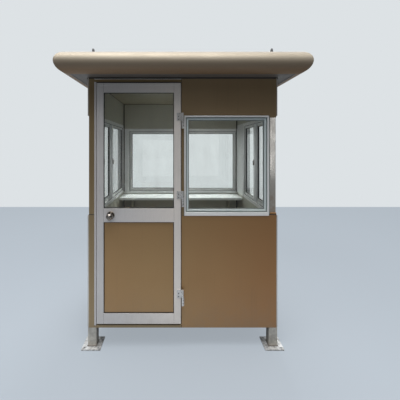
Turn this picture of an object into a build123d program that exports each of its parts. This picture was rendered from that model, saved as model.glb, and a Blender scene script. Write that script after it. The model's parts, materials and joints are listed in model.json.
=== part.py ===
from build123d import *
import os

# Security guard booth. Millimetres. The origin is on the ground, under the middle of the booth.
# +Z is up, the door and the fixed window face -Y, and +X is to the right of someone who faces the door.

# Body
BODY_WIDTH = 1500.0
BODY_DEPTH = 1200.0
PANEL_THICKNESS = 14.0
PANEL_EDGE_ROUND = 2.5
PANEL_SEAM = 1.0
POST_SIZE = 50.0
POST_WALL = 2.0
POST_CORNER_ROUND = 4.0
RAIL_WIDTH = 48.0
LINING_THICKNESS = 16.0
LINING_SEAM = 1.0

# Heights above the ground
LEG_HEIGHT = 158.0
BASE_RAIL_HEIGHT = 80.0
FLOOR_THICKNESS = 18.0
SOFFIT_HEIGHT = 2160.0
TOP_RAIL_HEIGHT = 50.0
WINDOW_SILL_HEIGHT = 1055.0
WINDOW_HEAD_HEIGHT = 1855.0
BACK_SILL_DROP = 20.0
BACK_HEAD_DROP = 40.0
POST_WRAP_TOP_DROP = 14.0
POST_WRAP_BOTTOM_RISE = 24.0

# Legs and base plates
LEG_SIZE = 70.0
LEG_WALL = 4.0
LEG_CORNER_ROUND = 6.0
BASE_PLATE_SIZE = 150.0
BASE_PLATE_THICKNESS = 10.0
BASE_PLATE_HOLE_SPACING = 110.0
BASE_PLATE_HOLE_DIAMETER = 16.0
JOIST_WIDTH = 50.0
JOIST_POSITION = 240.0

# Door opening and its frame
MULLION_POST_LEFT = -37.0
JAMB_WEB = 10.0
JAMB_LIP_WIDTH = 15.0
JAMB_LIP_LAP = 6.0
JAMB_LIP_PROUD = 4.0
STOP_WIDTH = 22.0
STOP_DEPTH = 12.0
THRESHOLD_HEIGHT = 22.0
HEAD_STRIP_HEIGHT = 36.0
SILL_STRIP_HEIGHT = 22.0
STRIP_SPLIT_RISE = 8.0
STRIP_LEFT_EDGE = -9.0

# Door leaf
LEAF_SIDE_GAP = 9.0
LEAF_HINGE_GAP = 6.0
LEAF_SILL_LAP = 37.0
LEAF_HEAD_LAP = 2.0
LEAF_THICKNESS = 28.0
LEAF_BACK_GAP = 5.0
STILE_WIDTH = 54.0
TOP_RAIL_WIDTH = 75.0
MID_RAIL_WIDTH = 108.0
MID_RAIL_RISE = 861.0
BOTTOM_RAIL_WIDTH = 82.0
LEAF_GLASS_THICKNESS = 5.0
LEAF_PANEL_THICKNESS = 9.0
GROOVE_DEPTH = 8.0

# Door hinges
HINGE_AXIS_X = 0.0
HINGE_AXIS_OUT = 8.0
HINGE_BARREL_RADIUS = 8.0
HINGE_PLATE_THICKNESS = 4.0
HINGE_PLATE_REACH = 47.0
HINGE_HALF_HEIGHT = 62.0
HINGE_GAP = 0.6
HINGE_BLOCK_LEFT = -7.0
HINGE_BLOCK_RIGHT = 11.0
HINGE_PIN_RADIUS = 3.5
HINGE_PIN_PLAY = 0.05
HINGE_PIN_RISE = 50.0
HINGE_TOP_DROP = 299.0
HINGE_MIDDLE_RISE = 992.0
HINGE_BOTTOM_RISE = 210.0

# Door knob
KNOB_BACKSET = 111.0
KNOB_BALL_RADIUS = 27.0
KNOB_NECK_RADIUS = 11.0
KNOB_NECK_LENGTH = 12.0
KNOB_SPINDLE_RADIUS = 6.0
KNOB_SPINDLE_PLAY = 5.0
ROSE_RADIUS = 32.0
ROSE_THICKNESS = 8.0
ROSE_PLAY = 0.3

# Fixed window in the front wall
FRONT_WINDOW_LEFT = 13.0
FRONT_WINDOW_RIGHT = 689.0
FRONT_LIP_WIDTH = 12.0
FRONT_SILL_EXTRA = 15.0
FRONT_RECESS_WIDTH = 8.0
FRONT_RECESS_SETBACK = 26.0
FRONT_BEAD_WIDTH = 13.0
FRONT_BEAD_SETBACK = 14.0
FRONT_BEAD_BACK_SETBACK = 58.0
FRAME_PROUD = 6.0
FRAME_DEPTH = 70.0
PANE_THICKNESS = 5.0
FRONT_PANE_SETBACK = 34.0
FRONT_PANE_GRIP = 9.0

# Sliding windows
RIGHT_WINDOW_REAR = 224.0
BACK_WINDOW_FILLER = 52.0
FRAME_FACE = 30.0
TRACK_DEPTH = 10.0
SASH_THICKNESS = 22.0
SASH_TRACK_PITCH = 28.0
SASH_FACE = 36.0
SASH_GROOVE = 8.0
OUTER_TRACK_SETBACK = 10.0
LATCH_PLATE_WIDTH = 16.0
LATCH_PLATE_HEIGHT = 52.0
LATCH_PLATE_THICKNESS = 5.0
LATCH_DISC_RADIUS = 12.0
LATCH_DISC_THICKNESS = 6.0
LATCH_TAIL_LENGTH = 30.0

# Roof
ROOF_SIDE_OVERHANG = 200.0
ROOF_END_OVERHANG = 200.0
EAVE_RADIUS = 82.0
EAVE_SHEET = 2.0
EAVE_LAP = 30.0
SOFFIT_LAP = 8.0
SOFFIT_THICKNESS = 8.0
DECK_THICKNESS = 10.0
ROOF_JOIST_WIDTH = 50.0
ROOF_INNER_JOIST_X = 240.0
CEILING_THICKNESS = 16.0
LUG_THICKNESS = 8.0
LUG_WIDTH = 46.0
LUG_HEIGHT = 84.0
LUG_HOLE_RADIUS = 11.0
LUG_HOLE_DROP = 24.0

# Desk along the back wall
DESK_TOP_HEIGHT = 1030.0
DESK_THICKNESS = 25.0
DESK_DEPTH = 258.0
BRACKET_THICKNESS = 20.0
BRACKET_DEPTH = 200.0
BRACKET_DROP = 220.0
BRACKET_X = 560.0

# Planes that follow from the sizes above
POST_OUT_X = BODY_WIDTH / 2
POST_IN_X = POST_OUT_X - POST_SIZE
CLAD_OUT_Y = BODY_DEPTH / 2
POST_OUT_Y = CLAD_OUT_Y - PANEL_THICKNESS
POST_IN_Y = POST_OUT_Y - POST_SIZE
LINING_IN_X = POST_IN_X - LINING_THICKNESS
LINING_IN_Y = POST_IN_Y - LINING_THICKNESS
RAIL_TOP = LEG_HEIGHT + BASE_RAIL_HEIGHT
FLOOR_TOP = RAIL_TOP + FLOOR_THICKNESS
TOP_RAIL_BOTTOM = SOFFIT_HEIGHT - TOP_RAIL_HEIGHT
MULLION_POST_RIGHT = MULLION_POST_LEFT + POST_SIZE
STRIP_RIGHT = FRONT_WINDOW_LEFT
BACK_WINDOW_SILL_HEIGHT = WINDOW_SILL_HEIGHT - BACK_SILL_DROP
BACK_WINDOW_HEAD_HEIGHT = WINDOW_HEAD_HEIGHT - BACK_HEAD_DROP
HEAD_STRIP_BOTTOM = SOFFIT_HEIGHT - HEAD_STRIP_HEIGHT
SILL_STRIP_TOP = LEG_HEIGHT + SILL_STRIP_HEIGHT
STRIP_SPLIT_HEIGHT = WINDOW_SILL_HEIGHT + STRIP_SPLIT_RISE
JAMB_LIP_LEFT = -POST_IN_X - JAMB_LIP_LAP
LEAF_LEFT = JAMB_LIP_LEFT + JAMB_LIP_WIDTH + LEAF_SIDE_GAP
LEAF_RIGHT = STRIP_LEFT_EDGE - LEAF_HINGE_GAP
LEAF_BOTTOM = RAIL_TOP - LEAF_SILL_LAP
LEAF_TOP = TOP_RAIL_BOTTOM + LEAF_HEAD_LAP
MID_RAIL_BOTTOM = LEAF_BOTTOM + MID_RAIL_RISE - MID_RAIL_WIDTH / 2
MID_RAIL_TOP = MID_RAIL_BOTTOM + MID_RAIL_WIDTH
KNOB_X = LEAF_LEFT + KNOB_BACKSET
KNOB_Z = LEAF_BOTTOM + MID_RAIL_RISE
ROOF_WIDTH = BODY_WIDTH + 2 * ROOF_SIDE_OVERHANG
ROOF_DEPTH = BODY_DEPTH + 2 * ROOF_END_OVERHANG
LEAF_BACK = -POST_OUT_Y - LEAF_BACK_GAP
LEAF_FRONT = LEAF_BACK - LEAF_THICKNESS
HINGE_AXIS_Y = LEAF_FRONT - HINGE_AXIS_OUT
EAVE_CENTRE_X = ROOF_WIDTH / 2 - EAVE_RADIUS
EAVE_CENTRE_Y = ROOF_DEPTH / 2 - EAVE_RADIUS
EAVE_BOTTOM = SOFFIT_HEIGHT - EAVE_SHEET
EAVE_CENTRE_Z = EAVE_BOTTOM + EAVE_RADIUS
ROOF_TOP = EAVE_BOTTOM + 2 * EAVE_RADIUS
DECK_TOP = ROOF_TOP - EAVE_SHEET
DECK_BOTTOM = DECK_TOP - DECK_THICKNESS
SOFFIT_TOP = SOFFIT_HEIGHT + SOFFIT_THICKNESS
CORNERS = [(side, end) for side in (-1, 1) for end in (-1, 1)]


def block(x0, x1, y0, y1, z0, z1):
    """A plain block between two corners."""
    middle = ((x0 + x1) / 2, (y0 + y1) / 2, (z0 + z1) / 2)
    return Pos(*middle) * Box(abs(x1 - x0), abs(y1 - y0), abs(z1 - z0))


def along(solid, axis):
    """The edges of a solid that run along one axis."""
    return solid.edges().filter_by(axis)


def pan(x0, x1, y0, y1, z0, z1, outward):
    """A folded cladding pan whose outer face has small rounded folds all round."""
    plain = block(x0, x1, y0, y1, z0, z1)
    axis = Axis.X if abs(outward[0]) else Axis.Y
    faces = plain.faces().sort_by(axis)
    outer = faces[-1] if outward[0] + outward[1] > 0 else faces[0]
    return fillet(outer.edges(), PANEL_EDGE_ROUND)


def folded(pan_solid):
    """The same small folds round the front face of a stepped pan."""
    outer = pan_solid.faces().sort_by(Axis.Y)[0]
    return fillet(outer.edges(), PANEL_EDGE_ROUND)


def square_tube(x, y, z0, z1, size, wall, corner):
    """An upright square tube with rounded corners, open at both ends."""
    outer = block(x - size / 2, x + size / 2, y - size / 2, y + size / 2, z0, z1)
    outer = fillet(along(outer, Axis.Z), corner)
    room = size / 2 - wall
    return outer - block(x - room, x + room, y - room, y + room, z0 - 1, z1 + 1)


def save(name, solids):
    """Write one named piece, or several like pieces that share a name."""
    if not isinstance(solids, list):
        solids = [solids]
    flat = [one for shape in solids for one in shape.solids()]
    export_step(Compound(children=flat), os.path.join("parts", name + ".step"))


def post_centre(side, end):
    """The centre of a corner post in plan."""
    return side * (POST_OUT_X - POST_SIZE / 2), end * (POST_OUT_Y - POST_SIZE / 2)


def make_posts():
    """Four corner posts and the post between the door and the window."""
    made = []
    for side, end in CORNERS:
        x, y = post_centre(side, end)
        made.append(square_tube(x, y, LEG_HEIGHT, SOFFIT_HEIGHT, POST_SIZE, POST_WALL, POST_CORNER_ROUND))
    x = MULLION_POST_LEFT + POST_SIZE / 2
    y = -POST_OUT_Y + POST_SIZE / 2
    made.append(square_tube(x, y, RAIL_TOP, TOP_RAIL_BOTTOM, POST_SIZE, POST_WALL, POST_CORNER_ROUND))
    return made


def make_legs():
    """Four short square legs under the corner posts."""
    made = []
    for side, end in CORNERS:
        x, y = post_centre(side, end)
        made.append(square_tube(x, y, BASE_PLATE_THICKNESS, LEG_HEIGHT, LEG_SIZE, LEG_WALL, LEG_CORNER_ROUND))
    return made


def make_base_plates():
    """A square plate with four anchor holes under each leg."""
    made = []
    half = BASE_PLATE_SIZE / 2
    reach = BASE_PLATE_HOLE_SPACING / 2
    hole = Cylinder(BASE_PLATE_HOLE_DIAMETER / 2, BASE_PLATE_THICKNESS * 3)
    for side, end in CORNERS:
        x, y = post_centre(side, end)
        plate = block(x - half, x + half, y - half, y + half, 0, BASE_PLATE_THICKNESS)
        for across, back in CORNERS:
            plate = plate - Pos(x + across * reach, y + back * reach, 0) * hole
        made.append(plate)
    return made


def ring_of_rails(z0, z1):
    """Four rails between the corner posts, one on each wall, flush with the posts' outer faces."""
    made = []
    x_in, y_in = POST_OUT_X - RAIL_WIDTH, POST_OUT_Y - RAIL_WIDTH
    for way in (-1, 1):
        made.append(block(way * x_in, way * POST_OUT_X, -POST_IN_Y, POST_IN_Y, z0, z1))
        made.append(block(-POST_IN_X, POST_IN_X, way * y_in, way * POST_OUT_Y, z0, z1))
    return made


def make_floor_joists():
    """Cross members under the floor, from the front rail to the back rail."""
    made = []
    for way in (-1, 1):
        x = way * JOIST_POSITION
        half = JOIST_WIDTH / 2
        y = POST_OUT_Y - RAIL_WIDTH
        made.append(block(x - half, x + half, -y, y, LEG_HEIGHT, RAIL_TOP))
    return made


def make_front_upper_panel():
    """The pan over the window, with a short wrap down the corner post."""
    high = block(STRIP_LEFT_EDGE, POST_OUT_X, -CLAD_OUT_Y, -POST_OUT_Y, WINDOW_HEAD_HEIGHT, SOFFIT_HEIGHT)
    wrap_z = WINDOW_HEAD_HEIGHT - POST_WRAP_TOP_DROP
    wrap = block(POST_IN_X, POST_OUT_X, -CLAD_OUT_Y, -POST_OUT_Y, wrap_z, WINDOW_HEAD_HEIGHT)
    return folded(high + wrap)


def make_front_lower_panel():
    """The pan under the window, with a short wrap up the corner post."""
    low = block(STRIP_LEFT_EDGE, POST_OUT_X, -CLAD_OUT_Y, -POST_OUT_Y, LEG_HEIGHT, WINDOW_SILL_HEIGHT)
    wrap_z = WINDOW_SILL_HEIGHT + POST_WRAP_BOTTOM_RISE
    wrap = block(POST_IN_X, POST_OUT_X, -CLAD_OUT_Y, -POST_OUT_Y, WINDOW_SILL_HEIGHT, wrap_z)
    return folded(low + wrap)


def make_door_surround():
    """The narrow pans beside, over and under the door and between door and window."""
    y0, y1 = -CLAD_OUT_Y, -POST_OUT_Y
    left = -POST_OUT_X
    lip = JAMB_LIP_LEFT
    inner = lip + PANEL_SEAM
    right = STRIP_LEFT_EDGE - PANEL_SEAM
    low = pan(left, lip, y0, y1, LEG_HEIGHT, STRIP_SPLIT_HEIGHT, (0, -1))
    high = pan(left, lip, y0, y1, STRIP_SPLIT_HEIGHT + PANEL_SEAM, SOFFIT_HEIGHT, (0, -1))
    head = pan(inner, right, y0, y1, HEAD_STRIP_BOTTOM, SOFFIT_HEIGHT, (0, -1))
    sill = pan(inner, right, y0, y1, LEG_HEIGHT, SILL_STRIP_TOP, (0, -1))
    middle = pan(STRIP_LEFT_EDGE, STRIP_RIGHT, y0, y1, WINDOW_SILL_HEIGHT, WINDOW_HEAD_HEIGHT, (0, -1))
    return [low, high, head, sill, middle]


def side_pans(z0, z1):
    """A pan on each side wall, from post to post."""
    x = POST_OUT_X + PANEL_THICKNESS
    right = pan(POST_OUT_X, x, -POST_OUT_Y, POST_OUT_Y, z0, z1, (1, 0))
    left = pan(-x, -POST_OUT_X, -POST_OUT_Y, POST_OUT_Y, z0, z1, (-1, 0))
    return [left, right]


def make_right_rear_panel():
    """The pan behind the right-hand window."""
    x = POST_OUT_X + PANEL_THICKNESS
    return pan(POST_OUT_X, x, RIGHT_WINDOW_REAR, POST_OUT_Y, WINDOW_SILL_HEIGHT, WINDOW_HEAD_HEIGHT, (1, 0))


def back_pan(z0, z1):
    """A pan on the back wall, from edge to edge."""
    return pan(-POST_OUT_X, POST_OUT_X, POST_OUT_Y, CLAD_OUT_Y, z0, z1, (0, 1))


def make_wall_linings():
    """Inner boards under and over the windows on all four walls."""
    made = []
    x0 = LINING_IN_X
    for low, high in ((FLOOR_TOP, WINDOW_SILL_HEIGHT), (WINDOW_HEAD_HEIGHT, TOP_RAIL_BOTTOM)):
        made.append(block(-POST_IN_X, -x0, -POST_IN_Y, POST_IN_Y, low, high))
        made.append(block(x0, POST_IN_X, -POST_IN_Y, POST_IN_Y, low, high))
        made.append(block(MULLION_POST_LEFT, x0 - LINING_SEAM, -POST_IN_Y, -LINING_IN_Y, low, high))
    across = x0 - LINING_SEAM
    for low, high in ((FLOOR_TOP, BACK_WINDOW_SILL_HEIGHT), (BACK_WINDOW_HEAD_HEIGHT, TOP_RAIL_BOTTOM)):
        made.append(block(-across, across, LINING_IN_Y, POST_IN_Y, low, high))
    low = WINDOW_SILL_HEIGHT + LINING_SEAM
    high = WINDOW_HEAD_HEIGHT - LINING_SEAM
    made.append(block(MULLION_POST_LEFT, MULLION_POST_RIGHT, -POST_IN_Y, -LINING_IN_Y, low, high))
    return made


def make_right_rear_lining():
    """The inner board behind the right-hand window."""
    return block(LINING_IN_X, POST_IN_X, RIGHT_WINDOW_REAR, POST_IN_Y, WINDOW_SILL_HEIGHT, WINDOW_HEAD_HEIGHT)


def make_door_frame():
    """The aluminium door frame: jambs with a stop, head and threshold."""
    y0, y1 = -POST_OUT_Y, -POST_IN_Y
    left, right = -POST_IN_X, MULLION_POST_LEFT
    z0, z1 = RAIL_TOP, TOP_RAIL_BOTTOM
    stop = y0 + STOP_DEPTH
    frame = block(left, left + JAMB_WEB, y0, y1, z0, z1)
    frame += block(right - JAMB_WEB, right, y0, y1, z0, z1)
    frame += block(left, right, y0, y1, z1 - JAMB_WEB, z1)
    frame += block(left, right, y0, y1, z0, z0 + THRESHOLD_HEIGHT)
    reach = JAMB_WEB + STOP_WIDTH
    frame += block(left, left + reach, y0, stop, z0, z1)
    frame += block(right - reach, right, y0, stop, z0, z1)
    frame += block(left, right, y0, stop, z1 - reach, z1)
    lip_right = JAMB_LIP_LEFT + JAMB_LIP_WIDTH
    lip_front = -CLAD_OUT_Y - JAMB_LIP_PROUD
    frame += block(JAMB_LIP_LEFT, lip_right, lip_front, y0, SILL_STRIP_TOP, HEAD_STRIP_BOTTOM)
    return frame


def make_door_leaf():
    """The glazed door leaf: two stiles, three rails, grooved for the glass and the lower panel."""
    y0, y1 = LEAF_FRONT, LEAF_BACK
    middle = (y0 + y1) / 2
    leaf = block(LEAF_LEFT, LEAF_RIGHT, y0, y1, LEAF_BOTTOM, LEAF_TOP)
    left, right = LEAF_LEFT + STILE_WIDTH, LEAF_RIGHT - STILE_WIDTH
    low, high = LEAF_BOTTOM + BOTTOM_RAIL_WIDTH, LEAF_TOP - TOP_RAIL_WIDTH
    for z0, z1, thick in (
        (MID_RAIL_TOP, high, LEAF_GLASS_THICKNESS),
        (low, MID_RAIL_BOTTOM, LEAF_PANEL_THICKNESS),
    ):
        leaf = leaf - block(left, right, y0 - 1, y1 + 1, z0, z1)
        g = GROOVE_DEPTH
        leaf = leaf - block(left - g, right + g, middle - thick / 2, middle + thick / 2, z0 - g, z1 + g)
    bore = KNOB_SPINDLE_RADIUS + KNOB_SPINDLE_PLAY
    hole = Pos(KNOB_X, middle, KNOB_Z) * Rot(90, 0, 0) * Cylinder(bore, LEAF_THICKNESS * 2)
    return leaf - hole


def leaf_infill(z0, z1, thick):
    """A sheet that fills one field of the door leaf, out to the bottom of its groove."""
    middle = (LEAF_FRONT + LEAF_BACK) / 2
    left, right = LEAF_LEFT + STILE_WIDTH - GROOVE_DEPTH, LEAF_RIGHT - STILE_WIDTH + GROOVE_DEPTH
    return block(left, right, middle - thick / 2, middle + thick / 2, z0 - GROOVE_DEPTH, z1 + GROOVE_DEPTH)


def hinge_heights():
    """The heights of the joints between the two halves of each hinge."""
    return [LEAF_TOP - HINGE_TOP_DROP, LEAF_BOTTOM + HINGE_MIDDLE_RISE, LEAF_BOTTOM + HINGE_BOTTOM_RISE]


def make_hinge_leaves():
    """The hinge halves on the door: a plate on the stile and a bored barrel above the joint."""
    made = []
    bore = HINGE_PIN_RADIUS + HINGE_PIN_PLAY
    for z in hinge_heights():
        top = z + HINGE_HALF_HEIGHT
        mid = (z + top) / 2
        barrel = Pos(HINGE_AXIS_X, HINGE_AXIS_Y, mid) * Cylinder(HINGE_BARREL_RADIUS, HINGE_HALF_HEIGHT)
        left = HINGE_AXIS_X - HINGE_PLATE_REACH
        plate = block(left, HINGE_AXIS_X, LEAF_FRONT - HINGE_PLATE_THICKNESS, LEAF_FRONT, z, top)
        depth = HINGE_PIN_RISE + HINGE_PIN_PLAY
        hole = Pos(HINGE_AXIS_X, HINGE_AXIS_Y, z + depth / 2) * Cylinder(bore, depth)
        made.append(barrel + plate - hole)
    return made


def make_hinge_brackets():
    """The hinge halves on the wall: a block on the narrow pan, a barrel and the pin."""
    made = []
    for z in hinge_heights():
        top = z - HINGE_GAP
        low = z - HINGE_HALF_HEIGHT
        tall = top - low
        barrel = Pos(HINGE_AXIS_X, HINGE_AXIS_Y, (top + low) / 2) * Cylinder(HINGE_BARREL_RADIUS, tall)
        front = HINGE_AXIS_Y + HINGE_BARREL_RADIUS / 2
        foot = block(HINGE_BLOCK_LEFT, HINGE_BLOCK_RIGHT, front, -CLAD_OUT_Y, low, top)
        rise = z + HINGE_PIN_RISE - HINGE_GAP
        pin = Pos(HINGE_AXIS_X, HINGE_AXIS_Y, (low + rise) / 2) * Cylinder(HINGE_PIN_RADIUS, rise - low)
        made.append(barrel + foot + pin)
    return made


def make_knob():
    """Both ball knobs, turned with their necks and the spindle that joins them."""
    neck = ROSE_THICKNESS + KNOB_NECK_LENGTH
    centre = neck + KNOB_BALL_RADIUS * 0.8
    half = LEAF_THICKNESS / 2
    knob = Cylinder(KNOB_SPINDLE_RADIUS, LEAF_THICKNESS + 2)
    for way in (-1, 1):
        start = way * (half + neck / 2)
        knob += Pos(0, 0, start) * Cylinder(KNOB_NECK_RADIUS, neck)
        ball = Sphere(KNOB_BALL_RADIUS)
        flat = centre + KNOB_BALL_RADIUS * 0.86
        wide = KNOB_BALL_RADIUS * 3
        cut = Pos(0, 0, way * (flat + KNOB_BALL_RADIUS)) * Box(wide, wide, KNOB_BALL_RADIUS * 2)
        knob += Pos(0, 0, way * half) * (Pos(0, 0, way * centre) * ball - cut)
    middle = (LEAF_FRONT + LEAF_BACK) / 2
    return Pos(KNOB_X, middle, KNOB_Z) * Rot(90, 0, 0) * knob


def make_knob_roses():
    """The round plates on both faces of the leaf around the knob's neck."""
    made = []
    ring = Cylinder(ROSE_RADIUS, ROSE_THICKNESS) - Cylinder(KNOB_NECK_RADIUS + ROSE_PLAY, ROSE_THICKNESS * 2)
    for y in (LEAF_FRONT - ROSE_THICKNESS / 2, LEAF_BACK + ROSE_THICKNESS / 2):
        made.append(Pos(KNOB_X, y, KNOB_Z) * Rot(90, 0, 0) * ring)
    return made


def front_ring(inset, width, y0, y1):
    """One step of the fixed window's frame: a ring set in from the frame's edge."""
    sill = FRONT_SILL_EXTRA if inset else 0
    left, right = FRONT_WINDOW_LEFT + inset, FRONT_WINDOW_RIGHT - inset
    low, high = WINDOW_SILL_HEIGHT + inset + sill, WINDOW_HEAD_HEIGHT - inset
    drop = width if inset else width + FRONT_SILL_EXTRA
    ring = block(left, right, y0, y1, low, high)
    return ring - block(left + width, right - width, y0 - 1, y1 + 1, low + drop, high - width)


def make_front_window_frame():
    """The fixed window's frame: a proud lip, a recess and a glazing bead, stepped back beside the post."""
    y0 = -CLAD_OUT_Y - FRAME_PROUD
    y1 = y0 + FRAME_DEPTH
    bead_in = FRONT_LIP_WIDTH + FRONT_RECESS_WIDTH
    frame = front_ring(0, FRONT_LIP_WIDTH, y0, y1)
    frame += front_ring(FRONT_LIP_WIDTH, FRONT_RECESS_WIDTH, y0 + FRONT_RECESS_SETBACK, y1)
    frame += front_ring(bead_in, FRONT_BEAD_WIDTH, y0 + FRONT_BEAD_SETBACK, y0 + FRONT_BEAD_BACK_SETBACK)
    frame += block(FRONT_WINDOW_RIGHT, POST_IN_X, -POST_OUT_Y, y1, WINDOW_SILL_HEIGHT, WINDOW_HEAD_HEIGHT)
    return frame - make_front_pane()


def make_front_pane():
    """The single pane of the fixed window, held in a groove of the bead."""
    y = -CLAD_OUT_Y - FRAME_PROUD + FRONT_PANE_SETBACK
    inset = FRONT_LIP_WIDTH + FRONT_RECESS_WIDTH + FRONT_BEAD_WIDTH - FRONT_PANE_GRIP
    left, right = FRONT_WINDOW_LEFT + inset, FRONT_WINDOW_RIGHT - inset
    low = WINDOW_SILL_HEIGHT + inset + FRONT_SILL_EXTRA
    return block(left, right, y, y + PANE_THICKNESS, low, WINDOW_HEAD_HEIGHT - inset)


def slider(width, height, filler=0.0, outer_at_right=True):
    """A two-sash sliding window at the origin: u to the right, v up, outside towards -w.

    Gives the frame, the two sashes, the two panes and the latch of the inner sash.
    A filler widens the frame's member at the +u end, where the sash of the outer track
    is too unless outer_at_right says otherwise."""
    w0, w1 = -FRAME_PROUD, FRAME_DEPTH - FRAME_PROUD
    left = -width / 2
    right = width / 2 - filler
    face = FRAME_FACE
    frame = block(left, width / 2, w0, w1, 0, height)
    frame -= block(left + face, right - face, w0 - 1, w1 + 1, face, height - face)
    edge = face - TRACK_DEPTH
    sash_width = (right - left - 2 * edge + SASH_FACE) / 2
    sashes = []
    panes = []
    for track, at_right in ((0, outer_at_right), (1, not outer_at_right)):
        near = w0 + OUTER_TRACK_SETBACK + track * SASH_TRACK_PITCH
        far = near + SASH_THICKNESS
        frame -= block(left + edge, right - edge, near, far, edge, height - edge)
        u0 = right - edge - sash_width if at_right else left + edge
        u1 = u0 + sash_width
        sash = block(u0, u1, near, far, edge, height - edge)
        rim = SASH_FACE
        low, high = edge + rim, height - edge - rim
        sash -= block(u0 + rim, u1 - rim, near - 1, far + 1, low, high)
        g = SASH_GROOVE
        mid = (near + far) / 2
        glass = PANE_THICKNESS / 2
        pane = block(u0 + rim - g, u1 - rim + g, mid - glass, mid + glass, low - g, high + g)
        sashes.append(sash - pane)
        panes.append(pane)
    meeting = u0 + SASH_FACE / 2 if at_right else u1 - SASH_FACE / 2
    latch = Pos(meeting, far, height / 2) * sash_latch()
    return frame, sashes, panes, latch


def sash_latch():
    """A small turning latch: a plate on the sash, a round hub and a tail that hangs down."""
    w = LATCH_PLATE_THICKNESS
    plate = block(-LATCH_PLATE_WIDTH / 2, LATCH_PLATE_WIDTH / 2, 0, w, -LATCH_PLATE_HEIGHT / 2, LATCH_PLATE_HEIGHT / 2)
    middle = w + LATCH_DISC_THICKNESS / 2
    hub = Pos(0, middle, 0) * Rot(90, 0, 0) * Cylinder(LATCH_DISC_RADIUS, LATCH_DISC_THICKNESS)
    half = LATCH_DISC_RADIUS / 2
    tail = block(-half, half, w, w + LATCH_DISC_THICKNESS, -LATCH_TAIL_LENGTH, 0)
    return plate + hub + tail


def place_window(name, place, parts):
    """Write the frame, sashes and panes of one sliding window, and give its latch in place."""
    frame, sashes, panes, latch = parts
    save(name + "_window_frame", place * frame)
    save(name + "_window_sashes", [place * sash for sash in sashes])
    save(name + "_window_panes", [place * pane for pane in panes])
    return place * latch


def make_sliding_windows():
    """The windows of the left, right and back walls, and the latches on their inner sashes.

    In both side walls the rear sash is the inner one."""
    tall = WINDOW_HEAD_HEIGHT - WINDOW_SILL_HEIGHT
    place = Pos(-POST_OUT_X, 0, WINDOW_SILL_HEIGHT) * Rot(0, 0, -90)
    latches = [place_window("left", place, slider(2 * POST_IN_Y, tall))]
    middle = (RIGHT_WINDOW_REAR - POST_IN_Y) / 2
    place = Pos(POST_OUT_X, middle, WINDOW_SILL_HEIGHT) * Rot(0, 0, 90)
    right = slider(RIGHT_WINDOW_REAR + POST_IN_Y, tall, outer_at_right=False)
    latches.append(place_window("right", place, right))
    tall = BACK_WINDOW_HEAD_HEIGHT - BACK_WINDOW_SILL_HEIGHT
    place = Pos(0, CLAD_OUT_Y, BACK_WINDOW_SILL_HEIGHT) * Rot(0, 0, 180)
    latches.append(place_window("back", place, slider(2 * POST_IN_X, tall, BACK_WINDOW_FILLER)))
    save("window_latches", latches)


def eave_profile():
    """Half-round eave sheet in section, nose towards +X, with a lap over the deck and under the soffit."""
    r = EAVE_RADIUS
    inner = r - EAVE_SHEET
    ring = Circle(r) - Circle(inner)
    nose = ring & (Pos(r, 0) * Rectangle(2 * r, 4 * r))
    y = r - EAVE_SHEET / 2
    over = Pos(-EAVE_LAP / 2, y) * Rectangle(EAVE_LAP, EAVE_SHEET)
    under = Pos(-SOFFIT_LAP / 2, -y) * Rectangle(SOFFIT_LAP, EAVE_SHEET)
    return nose + over + under


def straight_eave(centre, length, turn):
    """One eave along a side of the roof, mitred at both ends."""
    reach = centre + EAVE_RADIUS
    span = length / 2
    bar = extrude(Plane.XZ * eave_profile(), span, both=True)
    bar = Pos(centre, 0, EAVE_CENTRE_Z) * bar
    run = reach
    far = span
    near = far - run
    plan = Polyline((0, -near), (run, -far), (run, far), (0, near), close=True)
    wedge = extrude(make_face(plan), ROOF_TOP * 2)
    return Rot(0, 0, turn) * (bar & wedge)


def make_deck():
    """The flat roof sheet between the eaves."""
    x, y = EAVE_CENTRE_X, EAVE_CENTRE_Y
    return block(-x, x, -y, y, DECK_BOTTOM, DECK_TOP)


def make_soffit():
    """The underside board of the roof, which the posts and rails carry."""
    x, y = EAVE_CENTRE_X, EAVE_CENTRE_Y
    return block(-x, x, -y, y, SOFFIT_HEIGHT, SOFFIT_TOP)


def make_roof_joists():
    """Joists inside the roof, over the posts and over the ceiling."""
    made = []
    x_outer = POST_OUT_X - POST_SIZE / 2
    for x in (-x_outer, -ROOF_INNER_JOIST_X, ROOF_INNER_JOIST_X, x_outer):
        half = ROOF_JOIST_WIDTH / 2
        made.append(block(x - half, x + half, -EAVE_CENTRE_Y, EAVE_CENTRE_Y, SOFFIT_TOP, DECK_BOTTOM))
    return made


def make_ceiling():
    """The ceiling board between the top rails."""
    return block(-POST_IN_X, POST_IN_X, -POST_IN_Y, POST_IN_Y, TOP_RAIL_BOTTOM, TOP_RAIL_BOTTOM + CEILING_THICKNESS)


def make_lifting_lugs():
    """Four lifting lugs on the roof over the posts, each with a shackle hole."""
    made = []
    for side, end in CORNERS:
        x, y = post_centre(side, end)
        half = LUG_THICKNESS / 2
        wide = LUG_WIDTH / 2
        lug = block(x - half, x + half, y - wide, y + wide, DECK_TOP, DECK_TOP + LUG_HEIGHT)
        lug = fillet(along(lug, Axis.X).sort_by(Axis.Z)[-2:], LUG_WIDTH * 0.4)
        z = DECK_TOP + LUG_HEIGHT - LUG_HOLE_DROP
        made.append(lug - Pos(x, y, z) * Rot(0, 90, 0) * Cylinder(LUG_HOLE_RADIUS, LUG_THICKNESS * 3))
    return made


def make_desk_top():
    """The counter along the back wall."""
    x, y = LINING_IN_X, LINING_IN_Y
    return block(-x, x, y - DESK_DEPTH, y, DESK_TOP_HEIGHT - DESK_THICKNESS, DESK_TOP_HEIGHT)


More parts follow.
